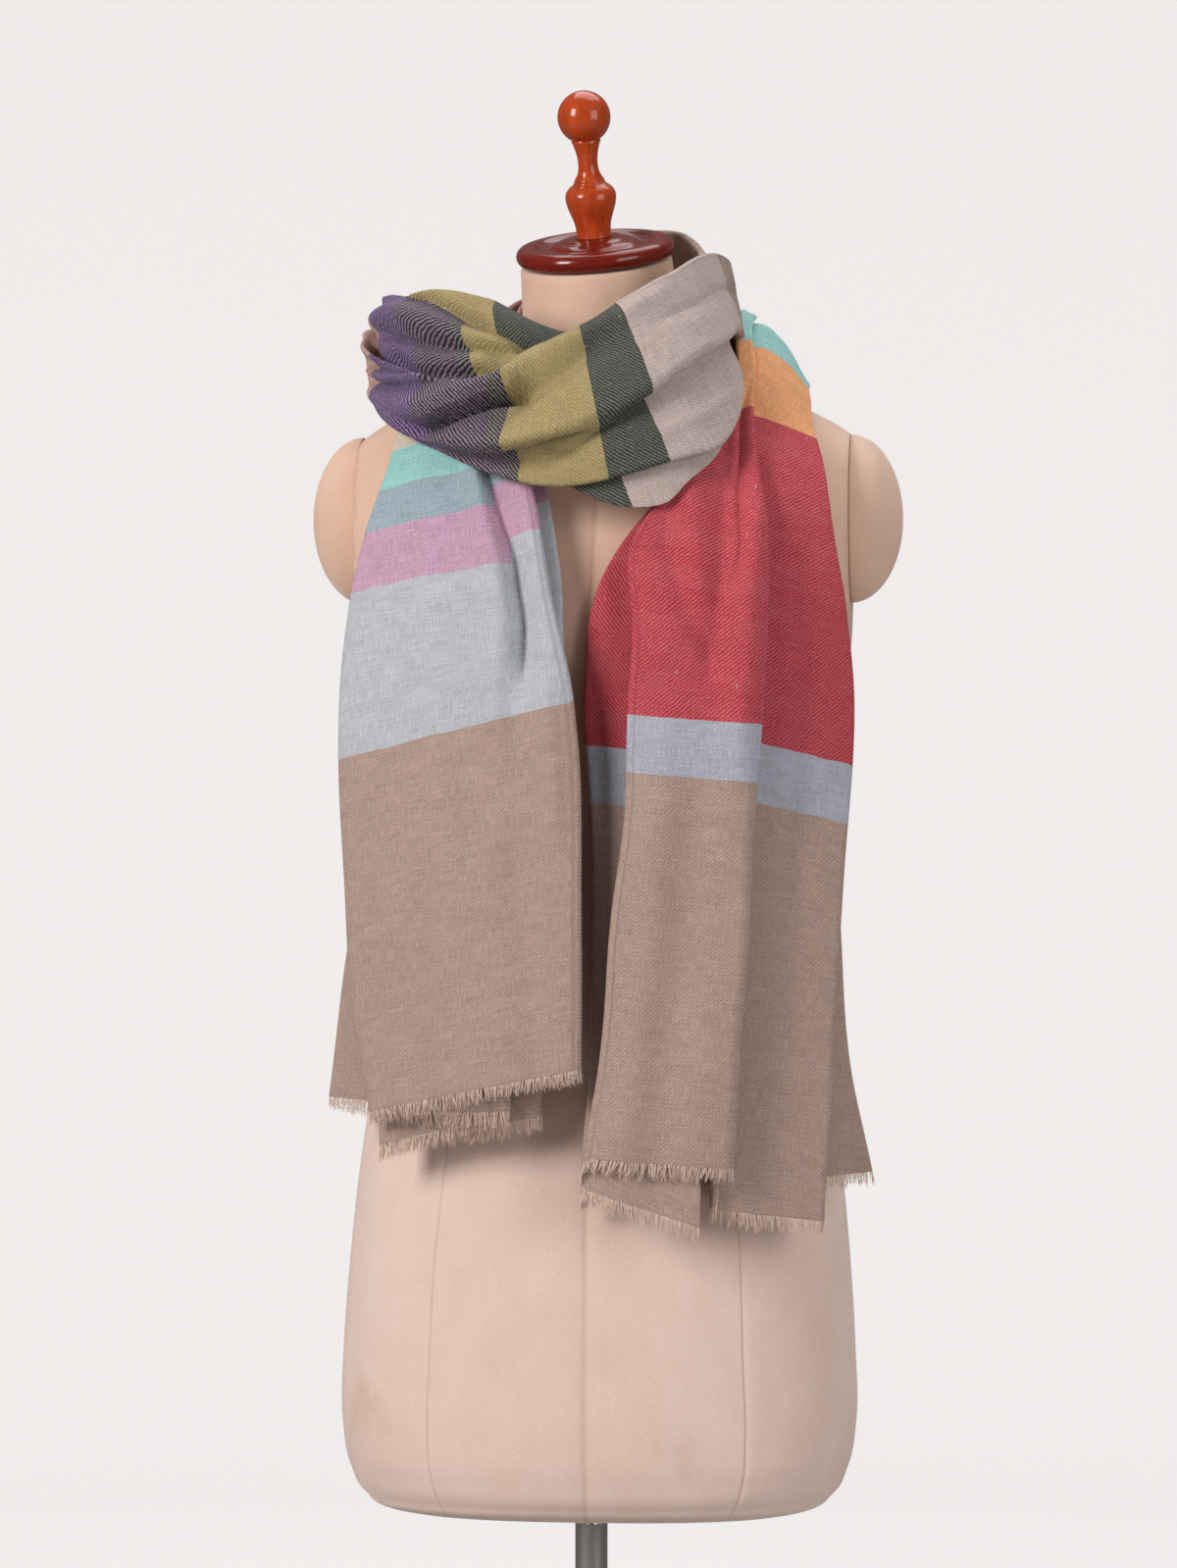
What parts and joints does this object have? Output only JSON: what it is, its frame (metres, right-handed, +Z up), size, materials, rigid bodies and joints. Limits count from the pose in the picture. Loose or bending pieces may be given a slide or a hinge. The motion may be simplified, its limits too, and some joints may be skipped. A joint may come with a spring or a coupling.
{
  "type": "wound pashmina shawl on a limbless dress form with a pole stand",
  "caption": "Long folded shawl wound once round the neck of a limbless dress form, both ends hanging in front, on a pole and a round base.",
  "frame": {"origin": "centre of the round base's underside, on the floor below the pole", "axes": "+Z up along the pole, -Y out of the form's chest towards the viewer, +X to the viewer's right"},
  "size_m": [0.43, 0.43, 1.511],
  "materials": {
    "panel_left_cloth": "fine twill wool with cross stripes of beige, grey blue, pink, slate and green blue",
    "wrap_inner_cloth": "fine twill wool with cross stripes of cream, tan and lilac grey",
    "band_front_cloth": "fine twill wool with cross stripes of lilac grey, dark green, yellow, charcoal and purple",
    "wrap_outer_cloth": "fine twill wool with cross stripes of purple, brown and tan",
    "panel_right_cloth": "fine twill wool with cross stripes of green blue, orange, red, blue grey and beige",
    "fringe_yarn": "loose wool yarn ends",
    "form_cover": "smooth peach beige suede cloth",
    "dark_varnished_wood": "dark red brown varnish",
    "varnished_wood": "glossy orange brown varnish",
    "chrome": "polished"
  },
  "bodies": {
    "root": {"panel_left": "panel_left_cloth", "wrap_inner": "wrap_inner_cloth", "band_front": "band_front_cloth", "wrap_outer": "wrap_outer_cloth", "panel_right": "panel_right_cloth", "fringe_left": "fringe_yarn", "fringe_right": "fringe_yarn", "torso": "form_cover", "shoulder_cap_left": "form_cover", "shoulder_cap_right": "form_cover", "neck": "form_cover", "neck_cap": "dark_varnished_wood", "finial": "varnished_wood", "pole": "chrome", "pole_collar": "chrome", "stand_base": "chrome"}
  },
  "joints": []
}
